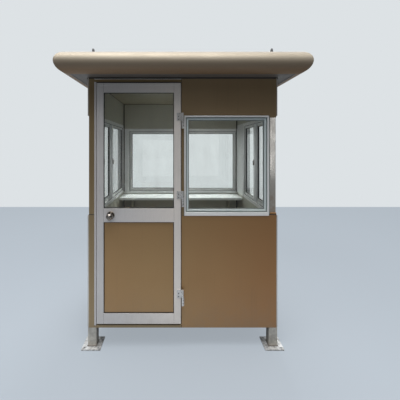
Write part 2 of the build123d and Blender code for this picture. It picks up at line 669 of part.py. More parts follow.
def make_desk_brackets():
    """Two tapered brackets under the counter."""
    made = []
    top = DESK_TOP_HEIGHT - DESK_THICKNESS
    y = LINING_IN_Y
    side = Polyline((y, top), (y - BRACKET_DEPTH, top), (y, top - BRACKET_DROP), close=True)
    plate = extrude(Plane.YZ * make_face(side), BRACKET_THICKNESS / 2, both=True)
    for way in (-1, 1):
        made.append(Pos(way * BRACKET_X, 0, 0) * plate)
    return made


os.makedirs("parts", exist_ok=True)

save("posts", make_posts())
save("legs", make_legs())
save("base_plates", make_base_plates())
save("base_rails", ring_of_rails(LEG_HEIGHT, RAIL_TOP))
save("floor_joists", make_floor_joists())
save("floor_panel", block(-POST_IN_X, POST_IN_X, -POST_IN_Y, POST_IN_Y, RAIL_TOP, FLOOR_TOP))
save("top_rails", ring_of_rails(TOP_RAIL_BOTTOM, SOFFIT_HEIGHT))

save("front_upper_panel", make_front_upper_panel())
save("front_lower_panel", make_front_lower_panel())
save("door_surround", make_door_surround())
save("side_upper_panels", side_pans(WINDOW_HEAD_HEIGHT, SOFFIT_HEIGHT))
save("side_lower_panels", side_pans(LEG_HEIGHT, WINDOW_SILL_HEIGHT))
save("right_rear_panel", make_right_rear_panel())
save("back_upper_panel", back_pan(BACK_WINDOW_HEAD_HEIGHT, SOFFIT_HEIGHT))
save("back_lower_panel", back_pan(LEG_HEIGHT, BACK_WINDOW_SILL_HEIGHT))
save("wall_linings", make_wall_linings())
save("right_rear_lining", make_right_rear_lining())

save("door_frame", make_door_frame())
save("door_leaf", make_door_leaf())
save("door_glass", leaf_infill(MID_RAIL_TOP, LEAF_TOP - TOP_RAIL_WIDTH, LEAF_GLASS_THICKNESS))
save("door_panel", leaf_infill(LEAF_BOTTOM + BOTTOM_RAIL_WIDTH, MID_RAIL_BOTTOM, LEAF_PANEL_THICKNESS))
save("hinge_leaves", make_hinge_leaves())
save("hinge_brackets", make_hinge_brackets())
save("knob", make_knob())
save("knob_roses", make_knob_roses())

save("front_window_frame", make_front_window_frame())
save("front_window_pane", make_front_pane())
make_sliding_windows()

save("front_eave", straight_eave(EAVE_CENTRE_Y, ROOF_WIDTH, -90))
save("back_eave", straight_eave(EAVE_CENTRE_Y, ROOF_WIDTH, 90))
save("side_eaves", [straight_eave(EAVE_CENTRE_X, ROOF_DEPTH, 0), straight_eave(EAVE_CENTRE_X, ROOF_DEPTH, 180)])
save("roof_deck", make_deck())
save("soffit", make_soffit())
save("roof_joists", make_roof_joists())
save("ceiling_panel", make_ceiling())
save("lifting_lugs", make_lifting_lugs())

save("desk_top", make_desk_top())
save("desk_brackets", make_desk_brackets())
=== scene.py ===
import json
import math
import random

import bmesh
import bpy
from mathutils import Matrix, Vector


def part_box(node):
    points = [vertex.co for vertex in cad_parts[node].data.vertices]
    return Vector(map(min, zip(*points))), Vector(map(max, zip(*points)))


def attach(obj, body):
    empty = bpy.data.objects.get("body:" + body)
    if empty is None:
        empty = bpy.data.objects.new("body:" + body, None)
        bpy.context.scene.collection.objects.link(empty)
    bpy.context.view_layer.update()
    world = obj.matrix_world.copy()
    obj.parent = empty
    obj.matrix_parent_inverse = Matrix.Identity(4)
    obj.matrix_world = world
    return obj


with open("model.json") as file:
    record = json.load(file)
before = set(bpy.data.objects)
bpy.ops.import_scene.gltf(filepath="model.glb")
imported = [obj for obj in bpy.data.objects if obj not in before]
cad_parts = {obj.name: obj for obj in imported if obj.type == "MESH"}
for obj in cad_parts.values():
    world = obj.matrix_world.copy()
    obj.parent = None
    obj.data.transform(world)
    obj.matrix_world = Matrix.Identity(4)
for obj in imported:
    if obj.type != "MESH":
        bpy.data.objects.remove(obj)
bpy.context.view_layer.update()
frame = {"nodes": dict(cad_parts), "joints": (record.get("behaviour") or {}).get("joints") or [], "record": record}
NODES = frame["nodes"]
X, Y, Z = Vector((1, 0, 0)), Vector((0, 1, 0)), Vector((0, 0, 1))
HERE = Matrix.Identity(4)
WHITE = (1.0, 1.0, 1.0)


# Places that several pieces share, from the boxes of the solids, in metres

def low(node):
    """The lowest corner of a node's box."""
    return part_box(node)[0]


def high(node):
    """The highest corner of a node's box."""
    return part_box(node)[1]


WALL_X = high("front_lower_panel").x
FRONT_FACE = low("front_lower_panel").y
BACK_FACE = high("back_lower_panel").y
SIDE_FACE = high("side_lower_panels").x
POST_Y = high("posts").y
CLADDING_FOOT = low("front_lower_panel").z
CEILING = low("ceiling_panel").z
SOFFIT = low("soffit").z
EAVE_X, EAVE_Y = high("soffit").x, high("soffit").y
DECK_TOP = high("roof_deck").z
# The right edge of the front window's frame, without its filler to the post
FRAME_RIGHT = high("front_window_frame").x - 0.011
# How far a bead or a strip sinks into its seat
BITE = 0.0005


# Node helpers

def lin(code):
    """Linear colour from six screen-colour digits."""
    parts = [int(code[i:i + 2], 16) / 255 for i in (0, 2, 4)]
    return tuple(c / 12.92 if c <= 0.04045 else ((c + 0.055) / 1.055) ** 2.4 for c in parts)


def rgba(colour):
    return (*colour[:3], 1.0)


class Graph:
    """A material's or a world's node tree, with short ways to add to it."""

    def __init__(self, owner):
        owner.use_nodes = True
        self.tree = owner.node_tree
        self.coords = None

    def feed(self, node, key, value):
        """Links a socket into a node's input, or sets the input to a plain value."""
        if isinstance(value, bpy.types.NodeSocket):
            self.tree.links.new(value, node.inputs[key])
        else:
            node.inputs[key].default_value = value

    def add(self, kind, inputs=None, out=0, **settings):
        """A node with its settings and inputs; gives one of its outputs."""
        made = self.tree.nodes.new(kind)
        for key, value in settings.items():
            setattr(made, key, value)
        for key, value in (inputs or {}).items():
            self.feed(made, key, value)
        return made.outputs[out]

    def place(self):
        """The place in the part's own frame, in metres."""
        if self.coords is None:
            self.coords = self.add("ShaderNodeTexCoord", out="Object")
        return self.coords

    def axis(self, vector, index):
        """The x, y or z of a vector, by its index."""
        return self.add("ShaderNodeSeparateXYZ", {0: vector}, out=index)

    def facing(self, index):
        """How far a face looks along an axis of the part's own frame."""
        return self.axis(self.add("ShaderNodeTexCoord", out="Normal"), index)

    def camera_ray(self):
        """1 for what the camera sees itself, and 0 for what reaches it by a reflection or as light."""
        return self.add("ShaderNodeLightPath", out="Is Camera Ray")

    def noise(self, scale, detail, rough=0.55, stretch=None):
        """Soft noise in the part's own frame. Stretch gives it a scale of its own on each axis."""
        where = self.place()
        if stretch:
            where = self.add("ShaderNodeMapping", {"Vector": where, "Scale": stretch})
        inputs = {"Vector": where, "Scale": scale, "Detail": detail, "Roughness": rough}
        return self.add("ShaderNodeTexNoise", inputs)

    def span(self, value, start, end, to_start=0.0, to_end=1.0):
        """A value spread from one range to another, and kept inside it."""
        return self.add("ShaderNodeMapRange", {0: value, 1: start, 2: end, 3: to_start, 4: to_end})

    def maths(self, operation, a, b=0.0):
        return self.add("ShaderNodeMath", {0: a, 1: b}, operation=operation)

    def product(self, a, b):
        return self.maths("MULTIPLY", a, b)

    def grey(self, value):
        return self.add("ShaderNodeCombineColor", {0: value, 1: value, 2: value})

    def blend(self, share, a, b, mode="MIX"):
        """Two colours mixed by a share."""
        a, b = (rgba(c) if isinstance(c, tuple) else c for c in (a, b))
        return self.add("ShaderNodeMix", {0: share, 6: a, 7: b}, out=2, data_type="RGBA", blend_type=mode)

    def times(self, colour, other):
        """One colour multiplied by another."""
        return self.blend(1.0, colour, other, "MULTIPLY")

    def bump(self, height, distance, normal=None):
        """Relief of a height in metres, laid over other relief if there is any."""
        inputs = {"Height": height, "Distance": distance, "Strength": 1.0}
        if normal is not None:
            inputs["Normal"] = normal
        return self.add("ShaderNodeBump", inputs)


# Shades change a surface's colour by its place, or by the way a face looks; under, along and the recess shade are
# painted shade

def ends(tint):
    """A tint of its own for the faces that look to the front or the back, as a pan's folded edge does."""
    def shade(g, colour):
        return g.blend(g.span(g.maths("ABSOLUTE", g.facing(1)), 0.8, 0.95), colour, tint)
    return shade


def under(remains):
    """Painted shade on the faces that look down: what remains of their colour there."""
    def shade(g, colour):
        return g.times(colour, g.blend(g.span(g.facing(2), -0.75, 0.2), remains, WHITE))
    return shade


def along(start, end, remains):
    """Painted shade sideways: the colour changes from start to end, and this remains of it at the end and beyond.
    """
    def shade(g, colour):
        return g.times(colour, g.blend(g.span(g.axis(g.place(), 0), start, end), WHITE, remains))
    return shade


def hollow(start, full, end, gone, remains):
    """Painted shade in a step of a frame: from front to back, where the shade starts, is full, ends and is gone.
    """
    def shade(g, colour):
        depth = g.axis(g.place(), 1)
        share = g.product(g.span(depth, start, full), g.span(depth, gone, end))
        return g.times(colour, g.blend(share, WHITE, remains))
    return shade


# Covers lie on a surface, and give the share of it that they hide and their own tint; the clouds of dirt also
# stand for painted light in places

RUST, GRIME = (0.16, 0.10, 0.06), (0.10, 0.06, 0.035)


def streaks(amount, tint=(0.12, 0.10, 0.08)):
    """What runs down a face with the rain, in some places only."""
    def cover(g):
        runs = g.span(g.noise(1.0, 3.0, 0.6, stretch=(55.0, 55.0, 1.3)), 0.56, 0.78)
        return g.product(g.product(runs, g.span(g.noise(1.6, 2.0), 0.4, 0.65)), amount), tint
    return cover


def specks(amount, tint=(0.05, 0.04, 0.03)):
    """Small spots, in some places only."""
    def cover(g):
        dots = g.span(g.noise(140.0, 2.0, 0.5), 0.68, 0.74)
        return g.product(g.product(dots, g.span(g.noise(5.0, 3.0), 0.45, 0.65)), amount), tint
    return cover


def dust(amount, tint=(0.30, 0.27, 0.22), full=0.16, gone=0.6, lying=0.3):
    """Clouds of dirt: full below one height and gone above another, but it also lies on what looks up. On the
    stainless steel it is painted reflection, and on the roof also painted highlight.
    """
    def cover(g):
        rise = g.span(g.axis(g.place(), 2), gone, full)
        flat = g.span(g.facing(2), 0.55, 0.95, 0.0, lying / amount)
        cloud = g.span(g.noise(14.0, 6.0, 0.65), 0.3, 0.75, 0.25, 1.0)
        return g.product(g.product(g.maths("MAXIMUM", g.product(rise, rise), flat), cloud), amount), tint
    return cover


def surface(name, tint, other, metal=0.0, rough=0.4, patch=2.0, patch_share=0.5, grain=(220.0, 220.0, 220.0),
            grain_shade=0.06, grain_rough=0.08, grain_depth=0.00008, ripple=0.0, ripple_scale=3.0, coat=0.0,
            shades=(), covers=()):
    """A worked surface: two tints in soft patches, a fine grain, the waviness of sheet, and its covers, which are
    dirt and in places painted light.

    A cover also makes the surface rougher and less metallic."""
    mat = bpy.data.materials.new(name)
    g = Graph(mat)
    soft = g.noise(patch, 3.0, 0.5)
    colour = g.blend(g.span(soft, 0.5 - patch_share / 2, 0.5 + patch_share / 2), tint, other)
    for shade in shades:
        colour = shade(g, colour)
    fine = g.noise(1.0, 3.0, 0.6, stretch=grain)
    colour = g.times(colour, g.grey(g.span(fine, 0.3, 0.7, 1.0 - grain_shade, 1.0 + grain_shade)))
    roughness = g.span(fine, 0.25, 0.75, rough - grain_rough, rough + grain_rough)
    wide = g.noise(patch * 2.3, 4.0, 0.6)
    roughness = g.maths("ADD", roughness, g.span(wide, 0.35, 0.7, -0.04, 0.06))
    metallic = metal
    for cover in covers:
        share, cover_tint = cover(g)
        colour = g.blend(share, colour, cover_tint)
        roughness = g.maths("ADD", roughness, g.product(share, 0.45))
        if metal:
            metallic = g.product(metallic, g.maths("SUBTRACT", 1.0, share))
    normal = g.bump(fine, grain_depth)
    if ripple:
        normal = g.bump(g.noise(ripple_scale, 1.0, 0.4), ripple, normal)
    shader = g.tree.nodes["Principled BSDF"]
    g.feed(shader, "Base Color", colour)
    g.feed(shader, "Roughness", roughness)
    g.feed(shader, "Metallic", metallic)
    g.feed(shader, "Normal", normal)
    g.feed(shader, "Coat Weight", coat)
    return mat


def glass(name, tint):
    """Clear float glass with a faint green cast and soft smears, that lets the lamps' light through."""
    mat = bpy.data.materials.new(name)
    g = Graph(mat)
    shader = g.tree.nodes["Principled BSDF"]
    smear = g.noise(9.0, 5.0, 0.6, stretch=(1.0, 1.0, 0.4))
    smeared = tuple(c * 0.93 for c in tint)
    g.feed(shader, "Base Color", g.blend(g.span(smear, 0.35, 0.8), tint, smeared))
    g.feed(shader, "Roughness", g.span(smear, 0.5, 0.8, 0.0, 0.05))
    g.feed(shader, "Normal", g.bump(g.noise(2.2, 1.0), 0.0002))
    g.feed(shader, "Transmission Weight", 1.0)
    g.feed(shader, "IOR", 1.45)
    clear = g.add("ShaderNodeBsdfTransparent", {"Color": rgba(tint)})
    lamp_ray = g.add("ShaderNodeLightPath", out="Is Shadow Ray")
    mixed = g.add("ShaderNodeMixShader", {0: lamp_ray, 1: shader.outputs[0], 2: clear})
    g.feed(g.tree.nodes["Material Output"], "Surface", mixed)
    return mat


# Looks

CHAMPAGNE = dict(metal=0.60, rough=0.38, patch=1.3, grain=(420.0, 420.0, 260.0), grain_shade=0.05,
                 ripple=0.0012, ripple_scale=2.6, covers=(streaks(0.16), dust(0.35)))
BROWN = dict(CHAMPAGNE, tint=(0.455, 0.285, 0.132), other=(0.450, 0.268, 0.124))
SIDE_BROWN = dict(CHAMPAGNE, tint=(0.385, 0.270, 0.155), other=(0.375, 0.250, 0.140))
ALUMINIUM = dict(patch=2.2, grain=(700.0, 700.0, 30.0), grain_shade=0.05, grain_rough=0.06,
                 covers=(streaks(0.1, tint=(0.20, 0.18, 0.17)), dust(0.3)))
STEEL_SHEET = dict(grain=(160.0, 160.0, 160.0), grain_depth=0.0002)
RED_RUST = (0.14, 0.06, 0.03)
BOARD = dict(patch=1.5, grain=(300.0, 300.0, 300.0), grain_depth=0.00012, ripple=0.001, ripple_scale=2.0)
BOARD_COVERS = (specks(0.25, tint=(0.12, 0.11, 0.1)), dust(0.2))

LOOKS = {
    # The front's brown, with painted shade that darkens and reddens it towards the right.
    "champagne": dict(BROWN, shades=(along(-0.1, 0.72, (0.97, 0.84, 0.79)),)),
    "champagne_side": dict(SIDE_BROWN, shades=(ends((0.74, 0.70, 0.64)),)),
    "champagne_back": SIDE_BROWN,
    # A greyer copy of the front's brown for the upper front: painted reflection of grey light in the eave's shade.
    "champagne_upper_painted_reflection": dict(CHAMPAGNE, tint=(0.435, 0.315, 0.185), other=(0.42, 0.295, 0.17)),
    "champagne_strip": dict(CHAMPAGNE, tint=(0.375, 0.275, 0.152), other=(0.360, 0.255, 0.138),
                            covers=(streaks(0.16), dust(0.25))),
    "champagne_edge": dict(tint=(0.52, 0.45, 0.34), other=(0.44, 0.36, 0.25), metal=0.8, rough=0.32,
                           patch=9.0, covers=(specks(0.3), dust(0.3))),
    # Painted shade darkens and warms the faces that look down; the pale cover on the faces that look up is settled
    # dirt and also painted highlight.
    "roof_sheet": dict(tint=(0.46, 0.405, 0.318), other=(0.43, 0.373, 0.290), metal=0.42, rough=0.58,
                       patch=1.7, grain=(380.0, 380.0, 380.0), grain_shade=0.04, ripple=0.0009,
                       ripple_scale=3.4, shades=(under((0.585, 0.435, 0.325)),),
                       covers=(dust(0.4, tint=(0.60, 0.59, 0.575), full=0.1, gone=0.2, lying=0.55),)),
    # The soffit's sheet in the dark brown it shows in shade: painted shade and painted brown reflection.
    "soffit_sheet_painted_shade": dict(STEEL_SHEET, tint=(0.125, 0.108, 0.095), other=(0.102, 0.088, 0.077), rough=0.55,
                         ripple=0.001, covers=(specks(0.3, tint=RED_RUST),)),
    # The brown cover, full below 1.2 m and gone above 1.4 m, is painted reflection of the brown cladding on the
    # stainless steel.
    "stainless": dict(tint=(0.56, 0.55, 0.53), other=(0.46, 0.44, 0.41), metal=1.0, rough=0.28, patch=4.0,
                      grain=(900.0, 900.0, 9.0), grain_shade=0.10, grain_rough=0.1,
                      covers=(streaks(0.2, tint=(0.24, 0.19, 0.13)),
                              dust(0.8, tint=(0.25, 0.175, 0.105), full=1.20, gone=1.40))),
    "zinc": dict(tint=(0.67, 0.635, 0.57), other=(0.47, 0.44, 0.39), metal=0.70, rough=0.42, patch=22.0,
                 patch_share=0.25, grain=(500.0, 500.0, 120.0), grain_shade=0.12, grain_depth=0.0002,
                 covers=(specks(0.8, tint=GRIME), dust(0.35, full=0.01, gone=0.12))),
    # The base plates' zinc, far lighter than the legs': a bright plate, lightened further as painted highlight.
    "plate_zinc_and_painted_highlight": dict(tint=(0.92, 0.925, 0.93), other=(0.48, 0.48, 0.475), metal=0.50, rough=0.30,
                       patch=40.0, patch_share=0.22, grain=(400.0, 400.0, 400.0), grain_shade=0.14,
                       grain_depth=0.0002,
                       covers=(specks(0.9, tint=(0.10, 0.07, 0.05)),
                               dust(0.2, full=0.01, gone=0.05, lying=0.1))),
    "primer": dict(STEEL_SHEET, tint=(0.115, 0.118, 0.125), other=(0.085, 0.088, 0.095), rough=0.6,
                   patch=3.0, covers=(specks(0.5, tint=RED_RUST), dust(0.25))),
    # The door's aluminium, with painted shade that makes it darker and cooler towards the left.
    "aluminium": dict(ALUMINIUM, tint=(0.98, 0.910, 0.850), other=(0.91, 0.843, 0.785), metal=0.30,
                      rough=0.40, shades=(along(-0.08, -0.50, (0.77, 0.80, 0.845)),)),
    # The front window's frame: painted shade in the steps behind its front lip, a cool tint over them and deep
    # shade in the recess.
    "aluminium_cool": dict(ALUMINIUM, tint=(1.0, 0.99, 0.975), other=(0.95, 0.94, 0.925), metal=0.16,
                           rough=0.38, shades=(hollow(-0.603, -0.596, -0.574, -0.570, (0.80, 0.90, 0.91)),
                                               hollow(-0.590, -0.584, -0.574, -0.570, (0.42, 0.42, 0.42)))),
    "aluminium_window": dict(ALUMINIUM, tint=(0.74, 0.745, 0.745), other=(0.66, 0.67, 0.67), metal=0.50,
                             rough=0.40),
    "aluminium_edge": dict(tint=(0.86, 0.845, 0.83), other=(0.78, 0.76, 0.75), metal=0.60, rough=0.34,
                           patch=14.0, covers=(specks(0.35),)),
    "lining": dict(BOARD, tint=(0.43, 0.42, 0.355), other=(0.38, 0.37, 0.31), rough=0.5,
                   covers=BOARD_COVERS),
    "pale_lining": dict(BOARD, tint=(0.66, 0.665, 0.66), other=(0.56, 0.565, 0.56), rough=0.45,
                        covers=BOARD_COVERS),
    "ceiling": dict(BOARD, tint=(0.29, 0.255, 0.175), other=(0.25, 0.22, 0.15), rough=0.5,
                    covers=(specks(0.25, tint=(0.10, 0.09, 0.07)),)),
    "floor_sheet": dict(tint=(0.20, 0.195, 0.185), other=(0.15, 0.147, 0.14), rough=0.55, patch=6.0,
                        grain=(260.0, 260.0, 260.0), grain_shade=0.14, grain_depth=0.0003,
                        covers=(specks(0.6), dust(0.5, full=0.2, gone=0.3, lying=0.25))),
    "desk": dict(tint=(0.74, 0.765, 0.76), other=(0.70, 0.725, 0.715), rough=0.3, patch=2.0,
                 grain=(180.0, 700.0, 180.0), grain_shade=0.02, grain_depth=0.00003, coat=0.3,
                 covers=(specks(0.2, tint=(0.4, 0.38, 0.35)),)),
    # Chrome kept dark and brownish: painted reflection of dark, brown surroundings on the knob.
    "polished": dict(tint=(0.38, 0.35, 0.32), other=(0.28, 0.255, 0.23), metal=1.0, rough=0.08, patch=16.0,
                     grain=(900.0, 900.0, 900.0), grain_shade=0.05, grain_rough=0.03, grain_depth=0.00001,
                     covers=(specks(0.5, tint=RUST),)),
    "satin_steel": dict(tint=(0.84, 0.83, 0.82), other=(0.62, 0.60, 0.58), metal=0.5, rough=0.30, patch=26.0,
                        grain=(900.0, 900.0, 200.0), grain_shade=0.08, grain_depth=0.00004,
                        covers=(streaks(0.2), specks(0.6, tint=RUST))),
    "rubber": dict(tint=(0.018, 0.018, 0.02), other=(0.03, 0.03, 0.032), rough=0.62, patch=30.0,
                   grain_depth=0.0002, covers=(dust(0.2),)),
    "silicone": dict(tint=(0.29, 0.33, 0.325), other=(0.22, 0.255, 0.25), rough=0.34, patch=35.0,
                     grain_depth=0.0003, covers=(specks(0.3), dust(0.3))),
    "soffit_trim": dict(tint=(0.17, 0.165, 0.165), other=(0.13, 0.127, 0.127), metal=0.3, rough=0.45,
                        patch=12.0, covers=(specks(0.3), dust(0.2))),
    "dark_trim": dict(tint=(0.055, 0.048, 0.042), other=(0.04, 0.036, 0.032), rough=0.5, patch=20.0,
                      covers=(dust(0.2),)),
    "weld": dict(tint=(0.30, 0.29, 0.28), other=(0.16, 0.13, 0.11), metal=0.8, rough=0.45, patch=60.0,
                 patch_share=0.3,
                 covers=(specks(0.9, tint=(0.16, 0.07, 0.03)), dust(0.3, full=0.0, gone=0.1))),
}
M = {name: surface(name, **look) for name, look in LOOKS.items()}
M["clear_glass"] = glass("clear_glass", (0.965, 0.985, 0.972))

SLOT_LOOK = {"steel_frame": "primer", "floor": "floor_sheet"}
NODE_LOOK = {
    "front_upper_panel": "champagne_upper_painted_reflection",
    "door_surround": "champagne_strip",
    "side_upper_panels": "champagne_side",
    "side_lower_panels": "champagne_side",
    "right_rear_panel": "champagne_side",
    "back_upper_panel": "champagne_back",
    "back_lower_panel": "champagne_back",
    "soffit": "soffit_sheet_painted_shade",
    "front_window_frame": "aluminium_cool",
    "right_rear_lining": "pale_lining",
    "ceiling_panel": "ceiling",
    "desk_brackets": "lining",
    "legs": "zinc",
    "base_plates": "plate_zinc_and_painted_highlight",
    "hinge_leaves": "satin_steel",
    "hinge_brackets": "satin_steel",
}
for wall in ("left", "right", "back"):
    for part in ("frame", "sashes"):
        NODE_LOOK[f"{wall}_window_{part}"] = "aluminium_window"
UNSOFTENED = {"front_eave", "back_eave", "side_eaves", "roof_deck", "knob", "hinge_leaves", "hinge_brackets",
              "posts"}
EDGE_WIDTH = 0.0008


def edge_look(look):
    """The look of the worn edges, which sheet and profiles have and other things lack."""
    for family in ("champagne", "aluminium"):
        if look.startswith(family):
            return f"{family}_edge"
    return None


def soften(obj):
    """Small rounded edges that catch the light."""
    obj.modifiers.new("weld", "WELD").merge_threshold = 0.00001
    flats = obj.modifiers.new("flats", "DECIMATE")
    flats.decimate_type = "DISSOLVE"
    flats.angle_limit = math.radians(0.5)
    bevel = obj.modifiers.new("bevel", "BEVEL")
    bevel.width = EDGE_WIDTH
    bevel.segments = 2
    bevel.limit_method = "ANGLE"
    bevel.angle_limit = math.radians(40)
    bevel.harden_normals = True
    bevel.material = len(obj.data.materials) - 1


def dress_solids():
    """Gives each of the frame's nodes its look and its softened edges."""
    for row in frame["record"]["subparts"]:
        node, slot = row["node"], row["material_slot"]
        obj = NODES[node]
        look = NODE_LOOK.get(node) or SLOT_LOOK.get(slot, slot)
        obj.data.materials.clear()
        obj.data.materials.append(M[look])
        if node in UNSOFTENED or slot == "clear_glass":
            continue
        if edge_look(look):
            obj.data.materials.append(M[edge_look(look)])
        soften(obj)


# Mesh makers

RIDGE_RISE = 0.0006


class Piece:
    """One added mesh, built up from simple worked forms."""

    def __init__(self, name, body, look, slot):
        self.name, self.body, self.look, self.slot = name, body, look, slot
        self.bm = bmesh.new()

    def rows(self, rings, closed=True, place=HERE):
        """Skins closed sections with quads. Closed joins the last section to the first."""
        made = [[self.bm.verts.new(place @ Vector(p)) for p in ring] for ring in rings]
        count = len(made[0])
        turns = len(made) if closed else len(made) - 1
        for i in range(turns):
            a, b = made[i], made[(i + 1) % len(made)]
            for j in range(count):
                k = (j + 1) % count
                self.bm.faces.new((a[j], a[k], b[k], b[j]))
        if not closed:
            self.bm.faces.new(list(reversed(made[0])))
            self.bm.faces.new(made[-1])

    def ring(self, u0, u1, v0, v1, section, place=HERE):
        """A mitred frame round a rectangle. A section's point is its distance inwards and its depth."""
        corners = ((u0, v0, 1, 1), (u1, v0, -1, 1), (u1, v1, -1, -1), (u0, v1, 1, -1))
        rings = [[(u + a * su, y, v + a * sv) for a, y in section] for u, v, su, sv in corners]
        self.rows(rings, place=place)

    def bar(self, start, end, edge=0.0004, place=HERE):
        """A straight strip with small chamfers along its edges."""
        size = Vector(end) - Vector(start)
        spot = place @ Matrix.Translation((Vector(end) + Vector(start)) / 2) @ Matrix.Diagonal((*size, 1))
        made = bmesh.ops.create_cube(self.bm, size=1.0, matrix=spot)
        edges = list({e for v in made["verts"] for e in v.link_edges})
        chamfer = min(edge, min(size) * 0.3)
        bmesh.ops.bevel(self.bm, geom=edges, offset=chamfer, segments=1, affect="EDGES")

    def joint(self, x, y, foot, top, place=HERE):
        """The thin upright line where two profiles meet. It ends just short of their edges."""
        half, proud, short = 0.0005, 0.0002, 0.001
        self.bar((x - half, y - proud, foot + short), (x + half, y + proud, top - short), place=place)

    def turned(self, profile, centre, axis, count):
        """A turned form from (radius, height) points along an axis. Its two ends are closed."""
        side = axis.orthogonal().normalized()
        other = axis.cross(side)
        turns = [2 * math.pi * i / count for i in range(count)]
        rings = []
        for radius, height in profile:
            middle = Vector(centre) + axis * height
            rings.append([middle + (side * math.cos(t) + other * math.sin(t)) * radius for t in turns])
        self.rows(rings, closed=False)

    def tube(self, points, radius, sides, ripple):
        """A round bead along a closed path, with a seeded ripple in its thickness."""
        chance = random.Random(self.name + str(len(points)))
        arms = [2 * math.pi * k / sides for k in range(sides)]
        rings = []
        for i, point in enumerate(points):
            run = (points[(i + 1) % len(points)] - points[i - 1]).normalized()
            side = run.cross(Z).normalized()
            other = run.cross(side)
            r = radius * (1 + ripple * math.sin(i * 1.9) + ripple * chance.uniform(-0.6, 0.6))
            rings.append([point + (side * math.cos(t) + other * math.sin(t)) * r for t in arms])
        self.rows(rings)

    def done(self, smooth=False):
        """Makes the object, gives it its look, and lets it ride on its body."""
        bmesh.ops.recalc_face_normals(self.bm, faces=self.bm.faces)
        mesh = bpy.data.meshes.new(self.name)
        self.bm.to_mesh(mesh)
        self.bm.free()
        if smooth:
            mesh.polygons.foreach_set("use_smooth", [True] * len(mesh.polygons))
        obj = bpy.data.objects.new(self.name, mesh)
        bpy.context.scene.collection.objects.link(obj)
        obj.data.materials.append(M[self.look])
        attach(obj, self.body)
        return obj


def crown(start, end, base, top, steps=6):
    """The section of a soft bead: flat against its seat and rounded outside."""
    middle, half = (start + end) / 2, (end - start) / 2
    turns = [math.pi * i / steps for i in range(steps + 1)]
    return [(middle - half * math.cos(t), base + (top - base) * math.sin(t)) for t in turns]


def ridge(start, slope, flat, face, way):
    """The section of a low ridge with sloping sides on a profile's face."""
    top = face + way * RIDGE_RISE
    end = start + 2 * slope + flat
    return [(start, face), (start + slope, top), (end - slope, top), (end, face)]


def screw(piece, spot, r):
    """A pan-head screw of radius r that looks to the front, with a small driver recess."""
    profile = [(r * 0.9, -0.0003), (r, 0.0002), (r * 0.86, r * 0.3), (r * 0.5, r * 0.42),
               (r * 0.34, r * 0.42), (r * 0.26, r * 0.1), (r * 0.02, r * 0.08)]
    piece.turned(profile, spot, -Y, 16)


def hung(height):
    """A place matrix for a ring that lies flat, with its section's depths measured down from a height."""
    return Matrix.Translation((0, 0, height)) @ Matrix.Rotation(-math.pi / 2, 4, "X")


def showing(node, groove):
    """What a groove leaves to see of a pane or panel: its left, right, low and high edge."""
    least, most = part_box(node)
    return least.x + groove, most.x - groove, least.z + groove, most.z - groove


def sideways(side, inner, outer):
    """Two distances from the middle, as the lower and the higher x on one side."""
    return sorted((side * inner, side * outer))


# The door

DOOR_GROOVE = 0.008
# Where the halves of each hinge meet
HINGE_HEIGHTS = (1.813, 1.193, 0.411)
KNOB = Vector(next(joint["pos_m"] for joint in frame["joints"] if joint["name"] == "knob_turn"))
# From the middle of the leaf to where the lock sits on the knob's end
KNOB_REACH = 0.0788


def door_gaskets():
    """Rubber round the door's pane and its lower panel, on both faces."""
    wide, rise = 0.0055, 0.006
    for name, slot, node in (("door_glass_gasket", "clear_glass", "door_glass"),
                             ("door_panel_bead", "champagne", "door_panel")):
        piece = Piece(name, "door", "rubber", slot)
        for base, way in ((low(node).y, -1), (high(node).y, 1)):
            piece.ring(*showing(node, DOOR_GROOVE), crown(0.0, wide, base, base + way * rise))
        piece.done(smooth=True)


def door_profiles():
    """The lines where the leaf's rails meet its stiles, and a low ridge round each face of the leaf."""
    least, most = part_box("door_leaf")
    left, right, glass_foot, glass_top = showing("door_glass", DOOR_GROOVE)
    panel_foot, panel_top = showing("door_panel", DOOR_GROOVE)[2:]
    piece = Piece("door_joint_lines", "door", "dark_trim", "aluminium")
    for y in (least.y, most.y):
        for x in (left, right):
            for foot, top in ((least.z, panel_foot), (panel_top, glass_foot), (glass_top, most.z)):
                piece.joint(x, y, foot, top)
    piece.done()
    piece = Piece("door_profile_ridges", "door", "aluminium", "aluminium")
    for y, way in ((least.y, -1), (most.y, 1)):
        section = ridge(start=0.0160, slope=0.0016, flat=0.0008, face=y, way=way)
        piece.ring(least.x, most.x, least.z, most.z, section)
    piece.done()


def hinge_screws():
    """Two screws in each half of the three hinges, over and under the height where the halves meet."""
    door_x, frame_x = low("hinge_leaves").x + 0.015, high("hinge_brackets").x - 0.008
    door_y, frame_y = low("door_leaf").y - 0.004, low("hinge_brackets").y + BITE
    for name, body, x, y, rises, radius in (
        ("hinge_screws_door", "door", door_x, door_y, (0.010, 0.034), 0.0042),
        ("hinge_screws_frame", "booth", frame_x, frame_y, (-0.017, -0.041), 0.0032),
    ):
        piece = Piece(name, body, "dark_trim", "polished")
        for z in HINGE_HEIGHTS:
            for rise in rises:
                screw(piece, (x, y, z + rise), radius)
        piece.done(smooth=True)


